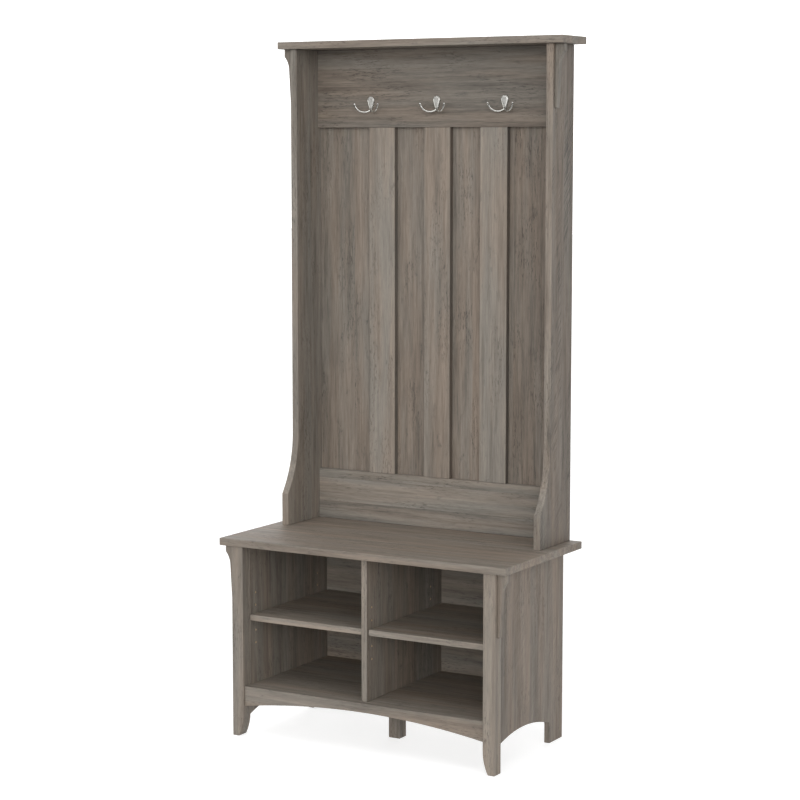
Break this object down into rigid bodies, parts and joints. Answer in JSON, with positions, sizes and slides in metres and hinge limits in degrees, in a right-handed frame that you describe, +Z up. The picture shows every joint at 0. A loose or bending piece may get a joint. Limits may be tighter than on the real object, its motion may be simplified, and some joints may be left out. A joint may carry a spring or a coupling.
{
  "type": "hall tree",
  "caption": "Free-standing hall tree: a slatted hutch with double-prong coat hooks on an open shoe bench with adjustable shelves and arched feet.",
  "frame": {"origin": "on the floor under the middle of the overall box", "axes": "+Z up, front faces -Y, +X to the right as seen from the front"},
  "size_m": [0.802, 0.408, 1.73],
  "materials": {
    "driftwood_laminate": "matt weathered grey-brown driftwood laminate with a fine embossed grain",
    "driftwood_back_sheet": "thin printed hardboard in the same driftwood grain",
    "hook_nickel": "satin nickel plate on a zinc casting",
    "zinc_steel": "bright zinc plate on steel",
    "beech_dowel": "plain turned beech"
  },
  "bodies": {
    "carcass": {"bench_back_panel": "driftwood_back_sheet", "bench_corbel_left": "driftwood_laminate", "bench_corbel_right": "driftwood_laminate", "bench_dowel_post_left": "beech_dowel", "bench_dowel_post_right": "beech_dowel", "bench_dowel_side_left": "beech_dowel", "bench_dowel_side_right": "beech_dowel", "bench_side_left": "driftwood_laminate", "bench_side_right": "driftwood_laminate", "bench_top": "driftwood_laminate", "bottom_rail": "driftwood_laminate", "bottom_shelf": "driftwood_laminate", "cap_board": "driftwood_laminate", "cap_dowel_left_front": "beech_dowel", "cap_dowel_left_rear": "beech_dowel", "cap_dowel_right_front": "beech_dowel", "cap_dowel_right_rear": "beech_dowel", "centre_foot": "driftwood_laminate", "centre_foot_bolt": "zinc_steel", "divider": "driftwood_laminate", "front_apron": "driftwood_laminate", "front_post_left": "driftwood_laminate", "front_post_right": "driftwood_laminate", "hook_centre": "hook_nickel", "hook_left": "hook_nickel", "hook_right": "hook_nickel", "hook_screw_centre_lower": "hook_nickel", "hook_screw_centre_upper": "hook_nickel", "hook_screw_left_lower": "hook_nickel", "hook_screw_left_upper": "hook_nickel", "hook_screw_right_lower": "hook_nickel", "hook_screw_right_upper": "hook_nickel", "hutch_back_panel": "driftwood_back_sheet", "hutch_corbel_left": "driftwood_laminate", "hutch_corbel_right": "driftwood_laminate", "hutch_screw_left_front": "zinc_steel", "hutch_screw_left_rear": "zinc_steel", "hutch_screw_right_front": "zinc_steel", "hutch_screw_right_rear": "zinc_steel", "hutch_side_left": "driftwood_laminate", "hutch_side_right": "driftwood_laminate", "shelf_support_left_bay_inner_front": "zinc_steel", "shelf_support_left_bay_inner_rear": "zinc_steel", "shelf_support_left_bay_outer_front": "zinc_steel", "shelf_support_left_bay_outer_rear": "zinc_steel", "shelf_support_right_bay_inner_front": "zinc_steel", "shelf_support_right_bay_inner_rear": "zinc_steel", "shelf_support_right_bay_outer_front": "zinc_steel", "shelf_support_right_bay_outer_rear": "zinc_steel", "slat_centre": "driftwood_laminate", "slat_left": "driftwood_laminate", "slat_right": "driftwood_laminate", "top_rail": "driftwood_laminate"},
    "shelf_left": {"shelf_left": "driftwood_laminate"},
    "shelf_right": {"shelf_right": "driftwood_laminate"}
  },
  "joints": [
    {"name": "shelf_left_slide", "type": "slide", "parent": "carcass", "child": "shelf_left", "axis": [0, -1, 0], "range_m": [0, 0.405]},
    {"name": "shelf_right_slide", "type": "slide", "parent": "carcass", "child": "shelf_right", "axis": [0, -1, 0], "range_m": [0, 0.405]}
  ]
}
